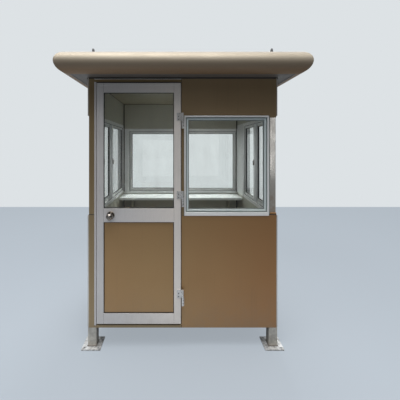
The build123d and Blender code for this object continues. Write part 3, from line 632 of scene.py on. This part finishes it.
def knob_lock():
    """The lock's face, ring and key slot on the outer knob, and the button on the inner one."""
    outside, inside = KNOB - Y * KNOB_REACH, KNOB + Y * KNOB_REACH
    piece = Piece("knob_lock_face", "knob", "polished", "polished")
    face = [(0.0105, 0.0), (0.0105, 0.0012), (0.0095, 0.002), (0.0078, 0.002), (0.0074, 0.0008),
            (0.0002, 0.0008)]
    ring = [(0.0125, 0.0), (0.0125, 0.0006), (0.0118, 0.001), (0.0108, 0.0)]
    button = [(0.006, 0.0), (0.006, 0.003), (0.0048, 0.004), (0.0002, 0.0042)]
    piece.turned(face, outside, -Y, 28)
    piece.turned(ring, outside, -Y, 28)
    piece.turned(button, inside, Y, 20)
    piece.done(smooth=True)
    # The key slot is a dark bar on the lock's face: painted shade where the slot goes in.
    piece = Piece("knob_key_slot", "knob", "dark_trim", "polished")
    start = outside - Vector((0.0006, 0.0011, 0.004))
    end = outside + Vector((0.0006, -0.0006, 0.004))
    piece.bar(start, end, edge=0.0001)
    piece.done()


def door_stop_seal():
    """The soft seal on the stop, which the closed leaf faces."""
    least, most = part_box("door_leaf")
    in_left, in_right, in_foot, in_top = 0.005, 0.045, 0.063, 0.025
    wide, rise, leaf_gap = 0.006, 0.0042, 0.005
    stop = most.y + leaf_gap
    piece = Piece("door_stop_seal", "booth", "rubber", "aluminium")
    piece.ring(least.x + in_left, most.x - in_right, least.z + in_foot, most.z - in_top,
               crown(0.0, wide, stop, stop - rise))
    piece.done(smooth=True)


# The windows

PANE_GROOVE = 0.009
BEAD, SIDE_BEAD, BEAD_PROUD = 0.0020, 0.0025, 0.0022
FRAME_DEPTH, FRAME_PROUD, FRAME_FACE = 0.070, 0.006, 0.030
TRACK_DEPTH, TRACK_PITCH, FIRST_TRACK = 0.010, 0.028, 0.004
SASH_FACE, SASH_DEPTH, SASH_EDGE = 0.036, 0.022, FRAME_FACE - TRACK_DEPTH
HALF_PANE = 0.0025
GASKET_WIDE, GASKET_SHORT, BRUSH_RISE = 0.005, 0.002, 0.003


def front_window_seals():
    """The gasket inside the fixed pane, and sealant outside it and along three sides of the frame."""
    gasket = Piece("front_window_gasket", "booth", "rubber", "clear_glass")
    sealant = Piece("front_window_sealant", "booth", "silicone", "aluminium")
    edges = showing("front_window_pane", PANE_GROOVE)
    outside, inside = low("front_window_pane").y, high("front_window_pane").y
    gasket_wide, gasket_rise, bead_wide, bead_rise = 0.004, 0.0045, 0.006, 0.005
    gasket.ring(*edges, crown(0.0, gasket_wide, inside, inside + gasket_rise))
    sealant.ring(*edges, crown(0.0, bead_wide, outside, outside - bead_rise))
    least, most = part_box("front_window_frame")
    for x0, x1, z0, z1 in (
        (least.x - SIDE_BEAD, least.x + BITE, least.z, most.z),
        (least.x, FRAME_RIGHT, most.z - BITE, most.z + BEAD),
        (least.x, FRAME_RIGHT, least.z - BEAD, least.z + BITE),
    ):
        sealant.bar((x0, FRONT_FACE - BEAD_PROUD, z0), (x1, FRONT_FACE + BITE, z1), edge=0.0008)
    gasket.done(smooth=True)
    sealant.done(smooth=True)


def wall_frame(node, out):
    """A wall's own frame for its window: x along the wall, y inwards and z up, with its width and height."""
    least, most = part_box(node)
    middle, size = (least + most) / 2, most - least
    reach = size.dot(Vector(map(abs, out))) / 2 - FRAME_PROUD
    origin = Vector((middle.x, middle.y, least.z)) + out * reach
    place = Matrix.Translation(origin) @ Matrix.Rotation(math.atan2(out.x, -out.y), 4, "Z")
    return place, size.x if out.y else size.y, size.z


def sash_details(place, near, start, sash, height, gasket, lines):
    """A sash's gaskets on both faces of its pane, and the lines where its rails meet its stiles."""
    far = near + SASH_DEPTH
    middle = (near + far) / 2
    left, right = start + SASH_FACE, start + sash - SASH_FACE
    foot, top = SASH_EDGE + SASH_FACE, height - SASH_EDGE - SASH_FACE
    for way, tip in ((-1, near + GASKET_SHORT), (1, far - GASKET_SHORT)):
        section = crown(0.0, GASKET_WIDE, middle + way * HALF_PANE, tip)
        gasket.ring(left, right, foot, top, section, place)
    for y in (near, far):
        for x in (left, right):
            lines.joint(x, y, FRAME_FACE, foot, place)
            lines.joint(x, y, top, height - FRAME_FACE, place)


def frame_details(place, left, right, width, height, brush, rail, lines):
    """Brush seals before and behind the two sashes, a ridge round each face of the frame, and its joints."""
    last = FIRST_TRACK + TRACK_PITCH + SASH_DEPTH
    for base in (0.0006, last + 0.0004):
        section = crown(-0.001, 0.004, base, base + BRUSH_RISE, steps=4)
        brush.ring(left + FRAME_FACE, right - FRAME_FACE, FRAME_FACE, height - FRAME_FACE, section, place)
    for y, way in ((-FRAME_PROUD, -1), (FRAME_DEPTH - FRAME_PROUD, 1)):
        section = ridge(start=0.013, slope=0.0004, flat=0.0012, face=y, way=way)
        rail.ring(left, width / 2, 0.0, height, section, place)
        for x in (left + FRAME_FACE, right - FRAME_FACE):
            lines.joint(x, y, 0.0, FRAME_FACE, place)
            lines.joint(x, y, height - FRAME_FACE, height, place)


def sliding_windows():
    """The small parts of the three windows with two sashes each, and sealant over and under their frames."""
    gasket = Piece("sash_gaskets", "booth", "rubber", "clear_glass")
    brush = Piece("sash_brush_seals", "booth", "rubber", "aluminium")
    rail = Piece("sash_track_ridges", "booth", "aluminium_edge", "aluminium")
    lines = Piece("window_joint_lines", "booth", "dark_trim", "aluminium")
    sealant = Piece("window_sealant", "booth", "silicone", "champagne")
    side_pan = SIDE_FACE - WALL_X
    lap, sunk = 0.0006, 0.0004
    for wall, out, outer_at_right, pan in (("left", -X, True, side_pan), ("right", X, False, side_pan),
                                           ("back", Y, True, 0.0)):
        place, width, height = wall_frame(f"{wall}_window_frame", out)
        sashes = high(f"{wall}_window_sashes") - low(f"{wall}_window_sashes")
        field = sashes.x if out.y else sashes.y
        sash = (field + SASH_FACE) / 2
        left = -width / 2
        right = left + field + 2 * SASH_EDGE
        outer, inner = left + SASH_EDGE, right - SASH_EDGE - sash
        if outer_at_right:
            outer, inner = inner, outer
        sash_details(place, FIRST_TRACK, outer, sash, height, gasket, lines)
        sash_details(place, FIRST_TRACK + TRACK_PITCH, inner, sash, height, gasket, lines)
        frame_details(place, left, right, width, height, brush, rail, lines)
        for z0, z1 in ((-BEAD, lap), (height - lap, height + BEAD)):
            start, end = (left, -pan - BEAD_PROUD, z0), (width / 2, sunk - pan, z1)
            sealant.bar(start, end, edge=0.0006, place=place)
    for piece in (gasket, brush, sealant):
        piece.done(smooth=True)
    rail.done()
    lines.done()


# Inside

def inner_corner_trims():
    """Folded trims in the two back corners, on the boards and between the windows' frames. Their near-black colour
    is painted shade in the corners.
    """
    boards = high("desk_top")
    frames = Vector((low("right_window_frame").x, low("back_window_frame").y, 0))
    sill, head = low("back_window_frame").z, high("back_window_frame").z
    reach, thick, fold, short = 0.011, 0.0016, 0.002, 0.001
    profile = ((0, 0), (reach, 0), (reach, thick), (thick + fold, thick), (thick, thick + fold),
               (thick, reach), (0, reach))
    piece = Piece("inner_corner_trims", "booth", "dark_trim", "lining")
    for side in (-1, 1):
        for foot, top, corner in (
            (high("floor_panel").z, sill - short, boards),
            (head + short, CEILING, boards),
            (low("right_window_frame").z + short, head - short, frames),
        ):
            section = [(side * (corner.x - a), corner.y - b) for a, b in profile]
            piece.rows([[(x, y, z) for x, y in section] for z in (foot, top)], closed=False)
    piece.done()


def ceiling_line():
    """The dark line where the boards meet the ceiling."""
    boards = high("desk_top")
    piece = Piece("ceiling_edge_line", "booth", "dark_trim", "lining")
    section = [(0.0, 0.0), (0.0, 0.004), (0.004, 0.002), (0.004, 0.0)]
    piece.ring(-boards.x, boards.x, -boards.y, boards.y, section, hung(CEILING))
    piece.done()


# The cladding

# The height of the joint lines across the strips at both ends of the front
STRIP_JOINT = 1.060
# The height and the proudness of the dark strips under the eaves, which are painted shadow
EAVE_SHADOW_LINE, EAVE_SHADOW_LINE_PROUD = 0.010, 0.0035


def front_pan_joints(piece):
    """The front's joint lines: across both end strips, under and over the door, and beside the window."""
    seam = low("front_lower_panel").x
    seam_left, seam_right = seam - 0.0018, seam + 0.0008
    door_least, door_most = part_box("door_frame")
    window_least, window_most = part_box("front_window_frame")
    window_left = window_least.x - SIDE_BEAD
    sill, head, off, on = window_least.z, window_most.z, 0.0010, 0.0006
    for x0, x1, z0, z1, proud in (
        (-WALL_X, door_least.x - BITE, STRIP_JOINT, STRIP_JOINT + 0.0055, 0.0006),
        (FRAME_RIGHT + 0.0015, WALL_X, STRIP_JOINT, STRIP_JOINT + 0.0065, 0.0006),
        (seam_left, seam_right, CLADDING_FOOT + 0.001, door_least.z, BITE),
        (seam_left, seam_right, door_most.z, SOFFIT - 0.012, BITE),
        (seam, window_left, sill - off, sill + on, BITE),
        (seam, window_left, head - on, head + off, BITE),
    ):
        piece.bar((x0, FRONT_FACE - proud, z0), (x1, FRONT_FACE + 2 * BITE, z1), edge=0.0002)


def corner_joints(piece, side):
    """The lines down a front corner, where the side's pans meet the post."""
    sill, head = low("front_window_frame").z, high("front_window_frame").z
    proud, short = 0.002, 0.002
    x0, x1 = sideways(side, WALL_X, WALL_X + proud)
    y0, y1 = -POST_Y - 0.0012, -POST_Y + 0.0008
    for foot, top in ((CLADDING_FOOT + short, sill - short / 2), (head + short, SOFFIT - EAVE_SHADOW_LINE)):
        piece.bar((x0, y0, foot), (x1, y1, top), edge=0.0003)


def cladding_joint_lines():
    """Dark lines between the pans of the front and down the front corners, and under the eaves on all sides a dark
    strip that is painted shadow where the soffit meets the walls.
    """
    piece = Piece("cladding_joint_lines", "booth", "dark_trim", "champagne")
    front_pan_joints(piece)
    front, back = FRONT_FACE - EAVE_SHADOW_LINE_PROUD, BACK_FACE + EAVE_SHADOW_LINE_PROUD
    piece.bar((-WALL_X, front, SOFFIT - EAVE_SHADOW_LINE - BITE), (WALL_X, FRONT_FACE + BITE, SOFFIT), edge=0.0015)
    for side in (-1, 1):
        x0, x1 = sideways(side, SIDE_FACE, SIDE_FACE + EAVE_SHADOW_LINE_PROUD)
        piece.bar((x0, -POST_Y, SOFFIT - EAVE_SHADOW_LINE), (x1, POST_Y, SOFFIT), edge=0.001)
        corner_joints(piece, side)
    piece.bar((-WALL_X, BACK_FACE - BITE, SOFFIT - EAVE_SHADOW_LINE), (WALL_X, back, SOFFIT), edge=0.0015)
    piece.done()


def door_head_trim():
    """The bright strip over the door."""
    piece = Piece("door_head_trim", "booth", "aluminium_edge", "aluminium")
    under_soffit, proud, tall, short = 0.0108, 0.0045, 0.0037, 0.0015
    start = (low("door_frame").x, FRONT_FACE - proud, SOFFIT - under_soffit - tall)
    end = (low("front_lower_panel").x - short, FRONT_FACE + BITE, SOFFIT - under_soffit)
    piece.bar(start, end, edge=0.0008)
    piece.done()


# The roof

TRIM_REACH = 0.018
WALL_GAP = 0.006
SEAM_NEAR_X, SEAM_FAR_X, SEAM_Y = 0.24, 0.80, 0.30


def soffit_details():
    """A trim round the soffit's edge, and the seams of its sheets."""
    piece = Piece("soffit_trims", "booth", "soffit_trim", "steel_frame")
    section = [(0.0085, -BITE), (0.0085, 0.0025), (0.010, 0.0032), (0.0145, 0.0032), (0.016, 0.0025),
               (0.016, -BITE)]
    piece.ring(-EAVE_X, EAVE_X, -EAVE_Y, EAVE_Y, section, hung(SOFFIT))
    piece.done()
    piece = Piece("soffit_seams", "booth", "dark_trim", "steel_frame")
    foot, top, half = SOFFIT - 0.0003, SOFFIT + 0.0004, 0.0008
    front = (TRIM_REACH - EAVE_Y, FRONT_FACE - WALL_GAP)
    back = (BACK_FACE + WALL_GAP, EAVE_Y - TRIM_REACH)
    for side in (-1, 1):
        for x in (side * SEAM_NEAR_X, side * SEAM_FAR_X):
            for y0, y1 in (front, back):
                piece.bar((x - half, y0, foot), (x + half, y1, top), edge=0.0002)
        x0, x1 = sideways(side, SIDE_FACE + WALL_GAP, EAVE_X - TRIM_REACH)
        for y in (-SEAM_Y, SEAM_Y):
            piece.bar((x0, y - half, foot), (x1, y + half, top), edge=0.0002)
    piece.done()


def roof_lap_sealant():
    """A bead where the deck meets the eave sheets, at even turns round the rectangle."""
    lap, lift, radius, count = 0.0305, 0.0007, 0.0030, 160
    points = []
    for i in range(count):
        turn = 2 * math.pi * i / count
        c, s = math.cos(turn), math.sin(turn)
        reach = 1 / max(abs(c), abs(s))
        points.append(Vector(((EAVE_X - lap) * c * reach, (EAVE_Y - lap) * s * reach, DECK_TOP + lift)))
    piece = Piece("roof_lap_sealant", "booth", "silicone", "roof_sheet")
    piece.tube(points, radius, sides=6, ripple=0.2)
    piece.done(smooth=True)


# Welds

LEG_WELD, LUG_WELD = 0.0033, 0.0026
POST_MIDDLE = 0.025
WELD_SIDES, WELD_RIPPLE = 7, 0.16
WELD_LIFT, OFF_LEG, OFF_LUG = 0.0012, 0.0012, 0.0008
LEG_ROUND, LUG_ROUND = 0.007, 0.0035


def square_path(x, y, half_x, half_y, z, round_by, per_side):
    """Points round a rounded rectangle that lies flat, in steps along each side."""
    points = []
    for corner, (sx, sy) in enumerate(((1, 1), (-1, 1), (-1, -1), (1, -1))):
        cx, cy = x + sx * (half_x - round_by), y + sy * (half_y - round_by)
        for i in range(4):
            turn = math.pi / 2 * (corner + i / 3)
            points.append(Vector((cx + round_by * math.cos(turn), cy + round_by * math.sin(turn), z)))
    full = []
    for i, a in enumerate(points):
        b = points[(i + 1) % len(points)]
        full.append(a)
        if (b - a).length > round_by:
            full += [a.lerp(b, k / per_side) for k in range(1, per_side)]
    return full


def welds():
    """Beads round the feet of the legs and of the lifting lugs."""
    post_x, post_y = WALL_X - POST_MIDDLE, POST_Y - POST_MIDDLE
    leg_x, leg_y, _ = high("legs") - Vector((post_x, post_y, 0))
    lug_x, lug_y, _ = high("lifting_lugs") - Vector((post_x, post_y, 0))
    leg_z, lug_z = high("base_plates").z + WELD_LIFT, DECK_TOP + WELD_LIFT
    on_legs = Piece("leg_welds", "booth", "weld", "stainless")
    on_lugs = Piece("lug_welds", "booth", "weld", "steel_frame")
    for sx in (-1, 1):
        for sy in (-1, 1):
            x, y = sx * post_x, sy * post_y
            leg_path = square_path(x, y, leg_x + OFF_LEG, leg_y + OFF_LEG, leg_z, LEG_ROUND, per_side=16)
            lug_path = square_path(x, y, lug_x + OFF_LUG, lug_y + OFF_LUG, lug_z, LUG_ROUND, per_side=10)
            on_legs.tube(leg_path, LEG_WELD, WELD_SIDES, WELD_RIPPLE)
            on_lugs.tube(lug_path, LUG_WELD, WELD_SIDES, WELD_RIPPLE)
    on_legs.done(smooth=True)
    on_lugs.done(smooth=True)


# The stage

STAGE_REACH = 30.0
STAGE_WALL_Y, STAGE_WALL_HEIGHT = 4.39, 12.0
FLOOR_TINT, WALL_TINT = lin("b9c2cb"), lin("dde2e5")
FLOOR_GLOW, FLOOR_SEEN, FLOOR_UNSEEN = 0.69, 0.30, (0.075, 0.08)
# The floor's light: from one distance to another, and its share at each
UNDERNEATH = (-0.15, 0.25, 0.05, 0.92)
FAR_OFF = (0.5, 4.4, 0.92, 0.16)
LEFT_TO_RIGHT = (-1.0, 1.6, 1.25, 0.70)


def floor_material():
    """A plain pale floor, that gives the booth less light from far off and from under it than from near."""
    mat = bpy.data.materials.new("stage_floor")
    g = Graph(mat)
    across, inwards = g.axis(g.place(), 0), g.axis(g.place(), 1)
    gaps = [g.maths("SUBTRACT", g.maths("ABSOLUTE", spot), half)
            for spot, half in ((across, WALL_X), (inwards, BACK_FACE))]
    away = g.maths("MAXIMUM", *gaps)
    given = g.maths("MINIMUM", g.span(away, *UNDERNEATH), g.span(away, *FAR_OFF))
    given = g.product(given, g.span(across, *LEFT_TO_RIGHT))
    seen = tuple(c * FLOOR_SEEN for c in FLOOR_TINT)
    unseen = g.grey(g.span(g.noise(0.8, 2.0), 0.3, 0.7, *FLOOR_UNSEEN))
    shader = g.tree.nodes["Principled BSDF"]
    g.feed(shader, "Emission Color", rgba(FLOOR_TINT))
    g.feed(shader, "Emission Strength", g.add("ShaderNodeMix", {0: g.camera_ray(), 2: given, 3: FLOOR_GLOW}))
    g.feed(shader, "Base Color", g.blend(g.camera_ray(), unseen, seen))
    g.feed(shader, "Roughness", 0.9)
    g.feed(shader, "Specular IOR Level", 0.0)
    return mat


def wall_material():
    """A plain backdrop that glows evenly."""
    mat = bpy.data.materials.new("stage_wall")
    g = Graph(mat)
    glow = g.add("ShaderNodeEmission", {"Color": rgba(WALL_TINT), "Strength": 1.0})
    g.feed(g.tree.nodes["Material Output"], "Surface", glow)
    return mat


def stage_plane(name, corners, mat):
    """A flat piece of the surroundings, which isn't part of the booth."""
    mesh = bpy.data.meshes.new(name)
    mesh.from_pydata(corners, [], [(0, 1, 2, 3)])
    obj = bpy.data.objects.new(name, mesh)
    bpy.context.scene.collection.objects.link(obj)
    obj.data.materials.append(mat)


def build_stage():
    """The floor, and the wall far behind the booth."""
    r, y, top = STAGE_REACH, STAGE_WALL_Y, STAGE_WALL_HEIGHT
    stage_plane("stage_floor", [(-r, -r, 0), (r, -r, 0), (r, r, 0), (-r, r, 0)], floor_material())
    stage_plane("stage_wall", [(-r, y, 0), (r, y, 0), (r, y, top), (-r, y, top)], wall_material())


# Light

SKY_DIM, SKY_BRIGHT = (0.035, 0.034, 0.033), (1.22, 1.22, 1.22)
SKY_RISE = (0.43, 0.97)


def sky():
    """Bright overhead and dim at the horizon, but the camera sees the backdrop's plain tint."""
    world = bpy.data.worlds.new("world")
    g = Graph(world)
    up = g.axis(g.add("ShaderNodeTexCoord", out="Generated"), 2)
    given = g.blend(g.span(up, *SKY_RISE), SKY_DIM, SKY_BRIGHT)
    background = g.tree.nodes["Background"]
    g.feed(background, "Color", g.blend(g.camera_ray(), given, WALL_TINT))
    g.feed(background, "Strength", 1.0)
    bpy.context.scene.world = world


def lamp(name, place, aim, size, power, spread=180.0):
    """A soft rectangular lamp, kept out of the camera's sight."""
    data = bpy.data.lights.new(name, "AREA")
    data.shape = "RECTANGLE"
    data.size, data.size_y = size
    data.energy = power
    data.spread = math.radians(spread)
    obj = bpy.data.objects.new(name, data)
    obj.location = place
    obj.rotation_euler = (Vector(aim) - Vector(place)).to_track_quat("-Z", "Y").to_euler()
    obj.visible_camera = False
    bpy.context.scene.collection.objects.link(obj)
    return obj


def lamps():
    """One large soft lamp overhead, weak ones behind and inside, and a strip that lights the posts alone."""
    lamp("overhead", place=(-0.7, -2.0, 6.6), aim=(-0.1, -0.5, 0.9), size=(5.4, 2.6), power=290)
    lamp("behind", place=(0.3, 2.9, 3.9), aim=(0.1, 0.42, 1.1), size=(1.6, 1.2), power=20, spread=60.0)
    lamp("front_window_daylight", place=(0.35, -0.545, 1.46), aim=(0.30, 1.0, 1.40), size=(0.58, 0.68),
         power=0.6, spread=130.0)
    lamp("door_daylight", place=(-0.35, -0.53, 1.40), aim=(-0.30, 1.0, 1.20), size=(0.5, 0.6),
         power=0.3, spread=110.0)
    strip = lamp("strip", place=(1.95, -4.0, 1.80), aim=(0.72, -0.59, 1.60), size=(0.45, 1.6), power=5.8)
    lit = bpy.data.collections.new("lit_by_strip")
    lit.objects.link(NODES["posts"])
    strip.light_linking.receiver_collection = lit


# The camera, at the photo's viewing angle

PICTURE = 400
PICTURE_SHIFT = (24.0, -55.0)
EYE = (-0.053, -2.8, 1.62)
SENSOR, LENS = 36, 24.75


def camera():
    """A level camera at a person's eye height, shifted to the photo's framing."""
    data = bpy.data.cameras.new("camera")
    data.sensor_width = SENSOR
    data.lens = LENS
    data.shift_x, data.shift_y = (pixels / PICTURE for pixels in PICTURE_SHIFT)
    obj = bpy.data.objects.new("camera", data)
    obj.location = EYE
    obj.rotation_euler = (math.radians(90), 0, 0)
    bpy.context.scene.collection.objects.link(obj)
    bpy.context.scene.camera = obj
    bpy.context.scene.view_settings.view_transform = "Standard"


dress_solids()
door_gaskets()
door_profiles()
hinge_screws()
knob_lock()
door_stop_seal()
front_window_seals()
sliding_windows()
inner_corner_trims()
ceiling_line()
cladding_joint_lines()
door_head_trim()
soffit_details()
roof_lap_sealant()
welds()
build_stage()
sky()
lamps()
camera()
